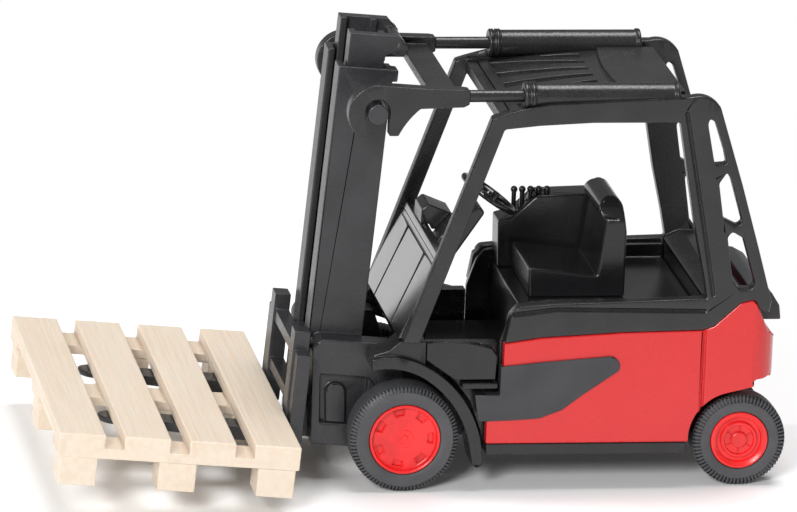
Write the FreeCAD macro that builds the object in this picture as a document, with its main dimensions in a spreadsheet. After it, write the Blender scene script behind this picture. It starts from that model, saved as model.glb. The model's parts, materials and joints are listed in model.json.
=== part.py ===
import FreeCAD, Part
import math
import operator
import os

import Sketcher

# Toy forklift truck, 1:50, carrying a pallet. Millimetres, +X towards the forks, +Y to the truck's left, +Z up.
# The origin is the middle of the bounding box on the floor.
os.makedirs("parts", exist_ok=True)
doc = FreeCAD.newDocument("toy_forklift")
sheet = doc.addObject("Spreadsheet::Sheet", "dims")
SIGNS = {"+": operator.add, "-": operator.sub, "*": operator.mul, "/": operator.truediv}
UPRIGHT = FreeCAD.Rotation()
ALONG_X = FreeCAD.Rotation(FreeCAD.Vector(0, 1, 0), 90)
ALONG_Y = FreeCAD.Rotation(FreeCAD.Vector(1, 0, 0), -90)


class Size:
    """A number and the sheet expression that drives it."""

    def __init__(self, value, text):
        self.value = value
        self.text = text

    def __add__(self, other):
        return combine(self, "+", other)

    def __radd__(self, other):
        return combine(other, "+", self)

    def __sub__(self, other):
        return combine(self, "-", other)

    def __rsub__(self, other):
        return combine(other, "-", self)

    def __mul__(self, other):
        return combine(self, "*", other)

    def __rmul__(self, other):
        return combine(other, "*", self)

    def __truediv__(self, other):
        return combine(self, "/", other)

    def __neg__(self):
        return combine(-1, "*", self)


def as_size(number):
    return number if isinstance(number, Size) else Size(float(number), "(%r)" % float(number))


def combine(first, sign, second):
    a = as_size(first)
    b = as_size(second)
    return Size(SIGNS[sign](a.value, b.value), "(%s %s %s)" % (a.text, sign, b.text))


def wave(function, angle):
    """Sine, cosine or tangent of an angle of the sheet, in degrees."""
    return Size(getattr(math, function)(math.radians(angle.value)), "%s(%s)" % (function, angle.text))


class Dims:
    """Every driving size, written once as a row of the sheet."""

    row = 1

    def add(self, **cells):
        for alias, value in cells.items():
            sheet.set("A%d" % Dims.row, alias)
            sheet.set("B%d" % Dims.row, str(value))
            sheet.setAlias("B%d" % Dims.row, alias)
            setattr(self, alias, Size(float(value), "dims." + alias))
            Dims.row += 1


d = Dims()
# fits
d.add(gap=0.05, slide_gap=0.2, swing_gap=0.3, shaft_gap=0.06, press_gap=0.02)
# wheels and axles
d.add(wheel_base=36.4, front_tyre_diameter=11.7, rear_tyre_diameter=10.12, front_tyre_width=4.5)
d.add(rear_tyre_width=4.0, front_track=25.66, rear_track=23.26, front_rim_diameter=7.6, rear_rim_diameter=6.2)
d.add(axle_diameter=1.6, rim_recess=0.5, rim_lip=0.45, axle_cover=0.9)
# body
d.add(body_width=25.2, guard_width=25.6, guard_wall=1.5, body_wall=1.3, sill_width=24.9, sill_bottom=3.97)
d.add(sill_top=5.2, sill_front=8.8, sill_rear=30.4, shell_front=8.7, shell_upper_front=10.3, shell_rear=40.6)
d.add(shell_corner=3.2, arch_radius=5.75, band_bottom_front=16.4, band_bottom_rear=17.7, band_top=21.2)
d.add(deck_top=19.3, deck_wall=1.2, floor_top=12.9, riser_back=12.5, beam_half=5.0, rear_beam_half=6.9)
d.add(beam_front=2.2, beam_top=8.6, rear_beam_back=39.2)
d.add(panel_line=32.0, line_width=0.28, line_depth=0.22, shell_ledge=5.2, trim_wall=0.3, fender_foot=2.75)
d.add(grille_front=36.1, grille_half=8.0, grille_low=17.4)
d.add(screw_front=16.0, screw_rear=27.0, screw_shank=1.2, screw_head=2.4, screw_bite=6.0, post_diameter=3.0)
# overhead guard
d.add(pillar_foot=16.5, pillar_depth=1.8, pillar_lean=19.3, roof_front_top=41.1, roof_top=43.2, rail_depth=2.7)
d.add(post_top_back=32.4, post_foot_back=38.9, post_front_top=28.1, roof_thickness=1.1)
# tilt cylinders and link
d.add(tilt_track=22.4, barrel_height=43.1, barrel_diameter=2.8, barrel_front=11.4, barrel_rear=28.0)
d.add(rod_diameter=1.3, rod_depth=9.5, collar_length=0.9, collar_lift=0.12, arm_wall=1.7, arm_rear=5.6)
d.add(eye_radius=3.1, eye_bottom=2.4, pin_diameter=2.2, pin_forward=6.85, pin_height=35.1, pin_clearance=0.2)
# controls
d.add(console_outer=10.2, console_inner=6.4, lever_side=7.6, lever_radius=0.26, lever_foot=23.6, lever_top=28.1)
d.add(lever_knob=0.38)
d.add(wheel_ring=3.2, wheel_grip=0.36, wheel_back=10.0, wheel_side=1.0, wheel_height=29.6)
# mast
d.add(mast_tilt=4.39, mast_width=10.54, mast_front=10.3, mast_rear=4.5, mast_top=38.3, mast_foot=-2.5)
d.add(web=0.67, flange=0.75, flange_reach=2.97, foot_width=16.0, foot_top=9.05)
d.add(inner_top=41.8, inner_wall=1.3, inner_arm=2.9, inner_arm_drop=2.4, inner_flange=0.7, tie_height=3.0)
# carriage, forks, pallet
d.add(carriage_front=12.1, carriage_top=8.1, carriage_bar=1.2, carriage_low=1.6, upright_inner=6.0)
d.add(upright_outer=8.4, upright_top=9.9, fork_inner=7.0, fork_outer=10.0, fork_tip=32.4, fork_thickness=1.5)
d.add(shank_top=7.8, shank_outer=10.4)
d.add(pallet_rear=12.55, pallet_length=25.6, pallet_width=43.6, pallet_top=1.03, pallet_height=5.67)
d.add(slat_width=4.9, slat_thickness=1.5, stringer_width=4.8, stringer_thickness=1.05, block_length=4.0)

cos_tilt = wave("cos", d.mast_tilt)
sin_tilt = wave("sin", d.mast_tilt)
front_radius = d.front_tyre_diameter / 2
rear_radius = d.rear_tyre_diameter / 2
pallet_front = d.pallet_rear + d.pallet_length
pallet_bottom = d.pallet_top - d.pallet_height
slat_low = d.pallet_top - d.slat_thickness
stringer_low = slat_low - d.stringer_thickness
front_reach = pallet_front * cos_tilt - stringer_low * sin_tilt
# place of the front axle, so that the pallet's tip and the rear tyre lie equally far from the origin
axle_x = (d.wheel_base + rear_radius - front_reach) / 2


def back(distance):
    """A place along the truck, counted backwards from the front axle."""
    return axle_x - distance


def bind(thing, path, size):
    thing.setExpression(path, as_size(size).text)


def move(thing, x=0, y=0, z=0, turn=UPRIGHT):
    places = [as_size(value) for value in (x, y, z)]
    thing.Placement = FreeCAD.Placement(FreeCAD.Vector(*[place.value for place in places]), turn)
    for letter, place in zip("xyz", places):
        bind(thing, "Placement.Base." + letter, place)
    return thing


def block(x, y, z):
    """A box between the two ends of each range."""
    box = doc.addObject("Part::Box", "block")
    for side, (low, high) in zip(("Length", "Width", "Height"), (x, y, z)):
        bind(box, side, as_size(high) - low)
    return move(box, x[0], y[0], z[0])


def rod(radius, ends, x=0, y=0, z=0, along="Y"):
    """A round bar along X, Y or Z, between two ends."""
    bar = doc.addObject("Part::Cylinder", "rod")
    bind(bar, "Radius", radius)
    bind(bar, "Height", as_size(ends[1]) - ends[0])
    if along == "X":
        return move(bar, ends[0], y, z, ALONG_X)
    if along == "Y":
        return move(bar, x, ends[0], z, ALONG_Y)
    return move(bar, x, y, ends[0])


def origin_plane(body, role):
    return [plane for plane in body.Origin.OriginFeatures if plane.Role == role][0]


def draw(sketch, points):
    """Closes an outline of (x, y) corners, where ("arc", middle, end) bends to its end through its middle."""
    corners = [point[2] if point[0] == "arc" else point for point in points]
    corners = [(as_size(x), as_size(y)) for x, y in corners]
    at = [FreeCAD.Vector(x.value, y.value, 0) for x, y in corners]
    lines = []
    middles = []
    ends = []
    for n, point in enumerate(points):
        start = at[n - 1]
        if point[0] == "arc":
            middle = (as_size(point[1][0]), as_size(point[1][1]))
            through = FreeCAD.Vector(middle[0].value, middle[1].value, 0)
            # a sketch keeps its arcs anticlockwise, so a clockwise bend is drawn from its other end
            clockwise = (through - start).cross(at[n] - through).z < 0
            lines.append(Part.Arc(at[n], through, start) if clockwise else Part.Arc(start, through, at[n]))
            ends.append((2, 1) if clockwise else (1, 2))
            middles.append((n, middle))
        else:
            lines.append(Part.LineSegment(start, at[n]))
            ends.append((1, 2))
    sketch.addGeometry(lines, False)
    for n in range(len(points)):
        following = (n + 1) % len(points)
        sketch.addConstraint(Sketcher.Constraint("Coincident", n, ends[n][1], following, ends[following][0]))
    for n, (x, y) in enumerate(corners):
        for kind, size in (("DistanceX", x), ("DistanceY", y)):
            row = sketch.addConstraint(Sketcher.Constraint(kind, -1, 1, n, ends[n][1], size.value))
            sketch.setExpression("Constraints[%d]" % row, size.text)
    for n, middle in middles:
        mark = sketch.addGeometry(Part.Point(FreeCAD.Vector(middle[0].value, middle[1].value, 0)), True)
        sketch.addConstraint(Sketcher.Constraint("PointOnObject", mark, 1, n))
        for kind, size in (("DistanceX", middle[0]), ("DistanceY", middle[1])):
            row = sketch.addConstraint(Sketcher.Constraint(kind, -1, 1, mark, 1, size.value))
            sketch.setExpression("Constraints[%d]" % row, size.text)


def plate(points, low, high, plane="XZ"):
    """A padded outline: seen from the side between two widths, from above or from the front between two others."""
    body = doc.addObject("PartDesign::Body", "plate")
    sketch = body.newObject("Sketcher::SketchObject", "outline")
    sketch.AttachmentSupport = (origin_plane(body, plane + "_Plane"), [""])
    sketch.MapMode = "FlatFace"
    draw(sketch, points)
    low = as_size(low)
    high = as_size(high)
    bind(sketch, "AttachmentOffset.Base.z", -high if plane == "XZ" else low)
    pad = body.newObject("PartDesign::Pad", "pad")
    pad.Profile = sketch
    bind(pad, "Length", high - low)
    body.Tip = pad
    return body


def turned(points, x, z):
    """A ring or disc turned about an axle along Y from (radius, y) corners."""
    body = doc.addObject("PartDesign::Body", "turned")
    sketch = body.newObject("Sketcher::SketchObject", "outline")
    sketch.AttachmentSupport = (origin_plane(body, "XY_Plane"), [""])
    sketch.MapMode = "FlatFace"
    draw(sketch, points)
    spin = body.newObject("PartDesign::Revolution", "spin")
    spin.Profile = sketch
    spin.ReferenceAxis = (sketch, ["V_Axis"])
    spin.Angle = 360
    body.Tip = spin
    return move(body, x, 0, z)


def join(*pieces):
    if len(pieces) == 1:
        return pieces[0]
    union = doc.addObject("Part::MultiFuse", "join")
    union.Shapes = list(pieces)
    union.Refine = True
    return union


def cut(piece, *tools):
    for tool in tools:
        hollow = doc.addObject("Part::Cut", "cut")
        hollow.Base = piece
        hollow.Tool = tool
        hollow.Refine = True
        piece = hollow
    return piece


def common(first, second):
    overlap = doc.addObject("Part::Common", "common")
    overlap.Base = first
    overlap.Tool = second
    overlap.Refine = True
    return overlap


def group(*pieces):
    """Identical fasteners that share one node."""
    compound = doc.addObject("Part::Compound", "group")
    compound.Links = list(pieces)
    return compound


nodes = []


def node(name, piece, leaning=False):
    """Names a finished sub-part. The mast's pieces are drawn upright about the axle, then lean back."""
    piece.Label = name
    if leaning:
        move(piece, axle_x, 0, front_radius, FreeCAD.Rotation(FreeCAD.Vector(0, 1, 0), -d.mast_tilt.value))
        bind(piece, "Placement.Rotation.Angle", d.mast_tilt)
        piece.Placement.Rotation.Axis = FreeCAD.Vector(0, -1, 0)
    nodes.append(piece)
    return piece


def both(half):
    return (-half, half)


def sided(side, inner, outer):
    """A range of widths on one side of the truck, low end first."""
    return (inner, outer) if side > 0 else (-outer, -inner)


SIDES = (("left", 1), ("right", -1))


# ---- wheels ----
def wheel_set(where, x, tyre_diameter, tyre_width, track, rim_diameter):
    radius = tyre_diameter / 2
    outer = track / 2
    inner = outer - tyre_width
    bore = d.axle_diameter / 2 + d.press_gap
    node(where + "_axle", rod(d.axle_diameter / 2, both(outer - d.axle_cover), x=x, z=radius))
    for name, side in SIDES:
        shoulder = tyre_width * 0.12
        seat = rim_diameter / 2 + d.press_gap
        tyre = turned([
            (seat, side * inner), (radius - shoulder, side * inner), (radius, side * (inner + shoulder)),
            (radius, side * (outer - shoulder)), (radius - shoulder, side * (outer - shoulder / 2)),
            (radius - shoulder * 1.6, side * outer), (seat, side * outer)], x, radius)
        node("%s_%s_tyre" % (where, name), tyre)
        edge = rim_diameter / 2
        face = outer - d.rim_recess
        rim = turned([
            (bore, side * inner), (edge, side * inner), (edge, side * outer), (edge - d.rim_lip, side * outer),
            (edge - d.rim_lip * 1.6, side * face), (d.axle_diameter, side * face),
            (d.axle_diameter * 0.8, side * (face + 0.25)), (0.01, side * (face + 0.25)),
            (0.01, side * (outer - d.axle_cover + d.gap)), (bore, side * (outer - d.axle_cover + d.gap))], x, radius)
        windows = []
        for n in range(7):
            angle = 2 * math.pi * n / 7
            spread = rim_diameter * 0.36
            centre = (x + spread * math.cos(angle), radius + spread * math.sin(angle))
            windows.append(rod(rim_diameter * 0.055, sided(side, face - 0.35, face + 0.5), x=centre[0], z=centre[1]))
        node("%s_%s_rim" % (where, name), cut(rim, join(*windows)))


wheel_set("front", axle_x, d.front_tyre_diameter, d.front_tyre_width, d.front_track, d.front_rim_diameter)
wheel_set("rear", back(d.wheel_base), d.rear_tyre_diameter, d.rear_tyre_width, d.rear_track, d.rear_rim_diameter)


# ---- base ----
def chassis_base():
    floor = block((back(d.sill_rear), back(d.sill_front)), both(d.sill_width / 2), (d.sill_bottom, d.sill_top))
    front = block((back(d.sill_front) - 1, axle_x + d.beam_front), both(d.beam_half), (d.sill_bottom, d.beam_top))
    rear = block((back(d.rear_beam_back), back(d.sill_rear) + 1), both(d.rear_beam_half), (d.sill_bottom, d.beam_top))
    hole = d.axle_diameter / 2 + d.shaft_gap
    holes = [rod(hole, both(d.sill_width / 2), x=axle_x, z=front_radius)]
    holes.append(rod(hole, both(d.sill_width / 2), x=back(d.wheel_base), z=rear_radius))
    base = cut(join(floor, front, rear), *holes)
    for place in screw_places:
        base = cut(base, rod(d.screw_shank / 2 + d.gap, (0, d.sill_top + 1), x=place, along="Z"))
        base = cut(base, rod(d.screw_head / 2 + d.gap, (0, d.sill_bottom + 0.75), x=place, along="Z"))
    return base


def base_screw(place):
    head = rod(d.screw_head / 2, (d.sill_bottom + 0.15, d.sill_bottom + 0.75), x=place, along="Z")
    return join(head, rod(d.screw_shank / 2, (d.sill_bottom + 0.5, d.sill_top + d.screw_bite), x=place, along="Z"))


screw_places = [back(d.screw_front), back(d.screw_rear)]
node("chassis_base", chassis_base())
node("base_screws", group(*[base_screw(place) for place in screw_places]))


# ---- red body shell ----
def shell_plan(width, rear, front, low, high):
    """The body's plan: straight sides, round rear corners and a slightly bowed rear face."""
    half = width / 2
    corner = d.shell_corner
    bow = 0.7
    points = [(back(front), -half), (back(front), half), (back(rear - corner), half)]
    nick = corner * (1 - math.sqrt(0.5))
    points.append(("arc", (back(rear - bow - nick), half - nick), (back(rear - bow), half - corner)))
    points.append(("arc", (back(rear), 0.001), (back(rear - bow), -half + corner)))
    points.append(("arc", (back(rear - bow - nick), -half + nick), (back(rear - corner), -half)))
    return plate(points, low, high, "XY")


band_line = [
    (back(10.3), d.band_bottom_front), (back(14.2), d.band_bottom_front + 0.6), (back(22.6), d.band_bottom_rear - 0.2),
    (back(31.6), d.band_bottom_rear), (back(32.9), d.band_bottom_rear + 0.5), (back(35.6), d.band_top - 0.5),
    (back(36.9), d.band_top - 0.2)]


def body_shell():
    side_view = [(back(d.shell_front), d.sill_top + d.gap), (back(d.shell_front), d.sill_top + d.shell_ledge)]
    side_view.append((back(d.shell_upper_front), d.sill_top + d.shell_ledge))
    side_view += [(x, z - d.gap) for x, z in band_line]
    side_view += [(back(37.4), d.band_top - 0.7), (back(38.9), d.band_bottom_rear - 0.4)]
    side_view.append(("arc", (back(d.shell_rear - 0.3), 15.6), (back(d.shell_rear + 0.05), 13.4)))
    side_view += [(back(d.shell_rear + 0.05), 12.2), (back(37.5), 12.0)]
    arch_front = back(d.wheel_base - d.arch_radius)
    arch_overlap = arch_front - 1.3
    side_view += [(back(37.5), d.beam_top + d.gap), (arch_overlap, d.beam_top + d.gap)]
    side_view.append((arch_overlap, d.sill_top + d.gap))
    whole = plate(side_view, -d.body_width / 2, d.body_width / 2)
    rounded = common(whole, shell_plan(d.body_width, d.shell_rear, d.shell_front - 1, d.sill_bottom, d.roof_top))
    hollow_half = d.body_width / 2 - d.body_wall
    cabin = block((back(36.0), axle_x), both(hollow_half), (d.sill_bottom, d.roof_top))
    arches = plate([
        (arch_front, d.sill_bottom - 1), (arch_front, rear_radius),
        ("arc", (back(31.9), 9.0), (back(34.6), 10.6)), (back(39.2), 11.7), (back(43), 12.5),
        (back(43), d.sill_bottom - 1)], -d.body_width, d.body_width)
    under = block((back(d.shell_rear + 2), back(d.wheel_base)), both(d.body_width), (d.sill_bottom, 11.0))
    notch = block((back(d.shell_rear + 2), back(d.grille_front - d.gap)), both(d.grille_half + d.gap), (d.grille_low, d.roof_top))
    lines = []
    for name, side in SIDES:
        depth = sided(side, d.body_width / 2 - d.line_depth, d.body_width / 2 + 1)
        lines.append(block((back(d.panel_line), back(d.panel_line) + d.line_width), depth, (d.sill_bottom, d.roof_top)))
    return cut(rounded, cabin, arches, under, notch, *lines)


node("body_shell", body_shell())


def rear_grille():
    profile = [
        (back(d.grille_front), d.grille_low + d.gap), (back(d.grille_front), d.band_top - 1.75),
        (back(37.3), d.band_top - 1.0), (back(37.3), d.band_top), (back(38.6), d.band_top - 0.1),
        (back(39.9), d.band_top - 0.8), (back(40.8), d.grille_low + 1.6), (back(41.0), d.grille_low + d.gap)]
    return plate(profile, -d.grille_half, d.grille_half)


node("rear_grille", rear_grille())


# ---- side trim panels ----
def side_trim(side):
    """A raised panel, which also wraps round the front edge of the shell and over its ledge."""
    front = back(d.shell_upper_front - d.trim_wall)
    ledge = d.sill_top + d.shell_ledge
    top = 13.85
    outline = [
        (front, top), (back(14.3), 14.3), (back(21.7), 14.9),
        ("arc", (back(22.6), 14.4), (back(22.7), 13.3)),
        (back(18.8), 10.6), (back(16.7), 9.0), (back(14.3), 8.1), (back(11.3), 7.9), (back(7.8), 7.8),
        (back(7.3), ledge + d.trim_wall), (front, ledge + d.trim_wall)]
    face = d.body_width / 2
    outside = face + 0.25
    behind = back(d.shell_upper_front - d.gap)
    wrap = sided(side, face - d.body_wall, outside)
    edge = block((behind, front), wrap, (ledge + d.gap, top))
    cover = block((behind, back(d.shell_front)), wrap, (ledge + d.gap, ledge + d.trim_wall))
    return join(plate(outline, *sided(side, face + 0.01, outside)), edge, cover)


for name, side in SIDES:
    node("side_trim_" + name, side_trim(side))


# ---- overhead guard with the cab band ----
def guard_side(side):
    lean = wave("tan", d.pillar_lean)
    rise = d.roof_front_top - d.pillar_foot
    foot = axle_x + 0.6
    outer = [(foot, d.pillar_foot), (foot - rise * lean, d.roof_front_top)]
    outer.append(("arc", (back(11.2), d.roof_front_top + 0.9), (back(14.1), d.roof_top - 0.6)))
    outer.append((back(29.3), d.roof_top + 0.1))
    outer.append(("arc", (back(31.2), d.roof_top - 0.05), (back(d.post_top_back), d.roof_top - 1.1)))
    outer += [(back(35.15), 33.6), (back(37.3), 26.4), (back(d.post_foot_back), 20.8), (back(38.7), 19.6)]
    outer += [(back(37.7), 20.0), (back(37.2), d.band_top - 0.3)]
    outer += list(reversed(band_line))
    outer += [(back(10.8), 19.3), (back(11.6), 20.4), (back(14.9), d.band_top - 0.5), (back(31.9), d.band_top)]
    outer += [(back(31.3), 24.3), (back(30.2), 29.0), (back(d.post_front_top), d.roof_top - d.rail_depth)]
    outer += [(back(18.8), d.roof_top - d.rail_depth), (back(13.2), d.roof_front_top - 0.9)]
    inner_top = d.roof_front_top - 1.3
    outer += [(foot - d.pillar_depth - (inner_top - d.pillar_foot) * lean, inner_top)]
    outer += [(foot - d.pillar_depth, d.pillar_foot)]
    wall = sided(side, d.guard_width / 2 - d.guard_wall, d.guard_width / 2)
    slots = [
        [(back(31.3), 40.9), (back(31.1), 40.3), (back(32.0), 35.9), (back(33.3), 36.0), (back(33.0), 37.3), (back(31.9), 40.5)],
        [(back(33.4), 35.0), (back(32.6), 33.8), (back(33.2), 30.0), (back(34.8), 29.2), (back(35.3), 29.6), (back(33.9), 34.2)],
        [(back(34.3), 28.5), (back(33.8), 27.9), (back(34.5), 23.3), (back(35.2), 22.3), (back(36.6), 22.2), (back(37.0), 22.9), (back(35.5), 27.8)]]
    tools = [plate(slot, wall[0] - 1, wall[1] + 1) for slot in slots]
    outside = sided(side, d.guard_width / 2 - d.line_depth, d.guard_width / 2 + 1)
    crease = d.line_width
    tools.append(plate([
        (back(11.2), 19.4), (back(15.8), 20.0), (back(31.9), 19.7), (back(31.9), 19.7 + crease), (back(15.8), 20.0 + crease),
        (back(11.0), 19.4 + crease)], *outside))
    tools.append(plate([
        (back(28.6), 41.7), (back(31.3), 27.6), (back(32.4), 21.5), (back(32.4) - crease, 21.5), (back(31.3) - crease, 27.6),
        (back(28.6) - crease, 41.7)], *outside))
    return cut(plate(outer, *wall), *tools)


def barrel_rod(side, radius, ends):
    return rod(radius, ends, y=side * d.tilt_track / 2, z=d.barrel_height, along="X")


def barrel_pockets():
    """Room for the tilt cylinders in the roof and its rails."""
    pocket = d.barrel_diameter / 2 + d.collar_lift + d.press_gap
    return [barrel_rod(side, pocket, (back(d.barrel_rear + 0.1), axle_x)) for name, side in SIDES]


def guard():
    inner = d.guard_width / 2 - d.guard_wall
    sides = [guard_side(side) for name, side in SIDES]
    parapet = plate([
        (back(31.6), d.band_bottom_rear + 0.05), (back(31.6), d.band_top), (back(33.6), d.band_top + 0.9),
        (back(35.9), d.band_top + 0.6), (back(35.9), d.band_top - 1.6), (back(33.0), d.band_bottom_rear + 0.05)],
        -inner, inner)
    header = block((back(10.3), back(9.1)), both(inner), (d.roof_front_top - 1.3, d.roof_front_top))
    return cut(join(sides[0], sides[1], parapet, header), *barrel_pockets())


node("overhead_guard", guard())


# ---- roof ----
def roof_panel():
    inner = d.guard_width / 2 - d.guard_wall - d.gap
    front = 10.35
    rear = 29.2
    top = d.roof_top - 0.6
    low = d.roof_front_top
    side_view = [
        (back(front), low), ("arc", (back(19.0), top - 0.25), (back(rear), top + 0.1)),
        (back(rear), top + 0.1 - d.roof_thickness),
        ("arc", (back(19.0), top - 0.25 - d.roof_thickness), (back(front), low - d.roof_thickness))]
    panel = plate(side_view, -inner, inner)
    cover = plate([
        ("arc", (back(22.2), 0.001), (back(23.0), -inner + 1.9)), (back(rear), -inner + 1.9),
        (back(rear), inner - 1.9), (back(23.0), inner - 1.9)], top - 0.5, top + 0.45, "XY")
    slots = []
    for n in range(-2, 3):
        wide = n * 4.3
        close = n * 2.7
        slots.append(plate([
            (back(11.4), wide - 1.0), (back(20.9), close - 0.55), (back(20.9), close + 0.55), (back(11.4), wide + 1.0)],
            low - 3, top + 3, "XY"))
    for side in (-1, 1):
        slots.append(plate([
            (back(16.8), side * 9.1 - 0.3), (back(20.9), side * 8.1 - 0.7), (back(20.9), side * 8.1 + 0.7),
            (back(16.8), side * 9.1 + 0.3)], low - 3, top + 3, "XY"))
    return cut(join(panel, cover), *(slots + barrel_pockets()))


node("roof_panel", roof_panel())


# ---- tilt cylinders ----
def tilt_barrel(side):
    radius = d.barrel_diameter / 2
    parts = [barrel_rod(side, radius, (back(d.barrel_rear), back(d.barrel_front)))]
    for place in (d.barrel_front, d.barrel_front + 0.75, d.barrel_rear - d.collar_length / 2):
        end = back(place)
        parts.append(barrel_rod(side, radius + d.collar_lift, (end - d.collar_length / 2, end)))
    barrel = join(*parts)
    bore_end = d.barrel_front + d.rod_depth + 4.5
    bore = barrel_rod(side, d.rod_diameter / 2 + d.shaft_gap, (back(bore_end), back(d.barrel_front) + 1))
    return cut(barrel, bore)


for name, side in SIDES:
    node("tilt_barrel_" + name, tilt_barrel(side))


# ---- fenders, steps ----
def fender(side):
    outline = [
        (axle_x + 3.8, 14.7), ("arc", (axle_x + 0.7, 14.85), (back(2.2), 13.8)),
        ("arc", (back(6.1), 10.3), (back(8.2), 5.2)), (back(8.4), d.fender_foot + 0.5),
        ("arc", (back(8.0), d.fender_foot), (back(7.3), d.fender_foot + 0.4)), (back(6.9), 5.2), ("arc", (back(5.0), 9.6), (back(1.8), 12.6)),
        ("arc", (axle_x + 0.7, 13.55), (axle_x + 3.8, 13.5))]
    arc = plate(outline, *sided(side, d.front_track / 2 - d.front_tyre_width, d.front_track / 2))
    top = plate([
        (back(2.0), 13.6), (axle_x + 3.6, 13.6), (axle_x + 3.6, 15.0), (axle_x + 1.9, 15.5),
        (axle_x + 0.8, d.pillar_foot - d.gap), (back(2.0), d.pillar_foot - d.gap)], *sided(side, 8.4, 12.0))
    return join(arc, top)


def step(side):
    panel = plate([
        (back(2.1), 16.3), ("arc", (back(5.9), 16.3), (back(9.1), 15.6)), (back(9.7), 14.7), (back(9.6), 12.2),
        (back(5.2), 12.2), (back(2.1), 14.4)], *sided(side, 11.0, 12.0))
    tread = block((back(9.8), back(6.0)), sided(side, 9.5, 12.4), (11.3, 11.9))
    wall = plate([
        (back(9.8), 16.0), (back(9.8), 5.25), (back(8.7), 5.25), (back(7.1), 9.5),
        ("arc", (back(5.0), 12.1), (back(2.1), 14.5)), (back(2.1), 16.0)], *sided(side, 9.5, 11.0))
    return join(panel, tread, wall)


for name, side in SIDES:
    node("front_fender_" + name, fender(side))
for name, side in SIDES:
    node("step_" + name, step(side))


# ---- cab ----
def cowl():
    inner = d.guard_width / 2 - d.guard_wall - d.gap
    panel = plate([
        (axle_x + 0.9, 16.6), (back(3.1), 25.6), (back(4.2), 25.3), (back(0.3), 16.6)], -inner, inner)
    grooves = []
    for middle in (-5.4, 5.4):
        grooves.append(plate([
            (axle_x + 1.9, 16.0), (back(2.1), 25.9), (back(2.9), 25.2), (axle_x + 0.7, 16.4)],
            middle - d.line_width * 0.7, middle + d.line_width * 0.7))
    rail = plate([
        (back(2.62), 24.4), (back(2.85), 24.9), (back(2.2), 25.2), (back(1.6), 24.2)], -inner - 1, inner + 1)
    return cut(panel, rail, *grooves)


node("front_cowl", cowl())


def tub():
    half = d.body_width / 2 - d.body_wall - 2 * d.gap
    deck = block((back(31.5), back(d.riser_back)), both(half - 0.1), (d.deck_top - d.deck_wall, d.deck_top))
    riser = block((back(d.riser_back + 1), back(d.riser_back)), both(9.4), (d.floor_top - 0.9, d.deck_top))
    floor = block((back(d.riser_back + 1), back(1.5)), both(8.3), (d.floor_top - 0.9, d.floor_top))
    wall = block((back(2.5), back(1.5)), both(8.3), (d.floor_top - 0.9, 16.5))
    ledge = block((back(2.5), axle_x + 0.6), both(8.3), (15.6, 16.5))
    posts = []
    pilots = []
    for place in screw_places:
        posts.append(rod(d.post_diameter / 2, (d.sill_top + d.gap, d.deck_top - d.deck_wall / 2), x=place, along="Z"))
        pilots.append(rod(d.screw_shank / 2 + d.press_gap, (d.sill_top, d.sill_top + d.screw_bite + d.gap), x=place, along="Z"))
    for name, side in SIDES:
        posts.append(plate([
            (back(31.5), d.floor_top - 0.9), (back(31.5), d.band_top - 0.4), (back(14.9), d.band_top - 0.6),
            (back(11.8), 20.2), (back(11.0), 19.2), (back(10.0), 16.2), (back(10.0), d.floor_top - 0.9)],
            *sided(side, d.console_outer + d.gap, half - 0.1)))
    return cut(join(deck, riser, floor, wall, ledge, *posts), *pilots)


node("cab_tub", tub())


def seat():
    half = 5.3
    profile = [
        (back(14.0), d.deck_top), (back(13.9), 22.6), (back(21.3), 21.6), (back(22.1), 27.6),
        ("arc", (back(22.75), 30.1), (back(24.0), 29.0)), (back(24.4), 26.4), (back(24.4), d.deck_top)]
    front_view = [
        (-half, d.deck_top), (-half, 27.2), ("arc", (-4.3, 29.6), (-1.9, 30.6)), ("arc", (0.001, 30.8), (1.9, 30.6)),
        ("arc", (4.3, 29.6), (half, 27.2)), (half, d.deck_top)]
    return common(plate(profile, -half, half), plate(front_view, back(25), back(13), "YZ"))


node("seat", seat())


def lever_rod(place, top, radius):
    return rod(radius, (d.lever_foot, top), x=back(place), y=-d.lever_side, along="Z")


def console():
    profile = [
        (back(12.6), d.deck_top), (back(12.5), 24.6), (back(14.2), 25.0), (back(16.6), 27.3), (back(22.6), 27.5),
        (back(23.2), 26.8), (back(23.2), d.deck_top)]
    holes = [lever_rod(place, 30, d.lever_radius + d.press_gap) for place in lever_places]
    return cut(plate(profile, -d.console_outer, -d.console_inner), *holes)


def control_levers():
    levers = []
    for place in lever_places:
        knob = doc.addObject("Part::Sphere", "knob")
        bind(knob, "Radius", d.lever_knob)
        move(knob, back(place), -d.lever_side, d.lever_top - d.lever_knob)
        levers.append(join(lever_rod(place, d.lever_top - d.lever_knob, d.lever_radius), knob))
    return group(*levers)


lever_places = [14.3 + 0.9 * n for n in range(5)]
node("armrest_console", console())
node("control_levers", control_levers())


def instrument_hood():
    profile = [
        (back(3.15), 25.65), (back(3.2), 27.3), (back(3.9), 27.9), (back(6.6), 26.8), (back(5.6), 25.1), (back(4.3), 25.1),
        (back(4.15), 25.65)]
    return plate(profile, -5.6, -1.2)


def steering_column():
    profile = [
        (back(2.7), 21.6), (back(3.95), 24.5), (back(6.9), 27.5), (back(8.9), 28.6), (back(9.5), 27.8), (back(5.4), 21.6)]
    return plate(profile, d.wheel_side - 2.1, d.wheel_side + 1.3)


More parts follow.
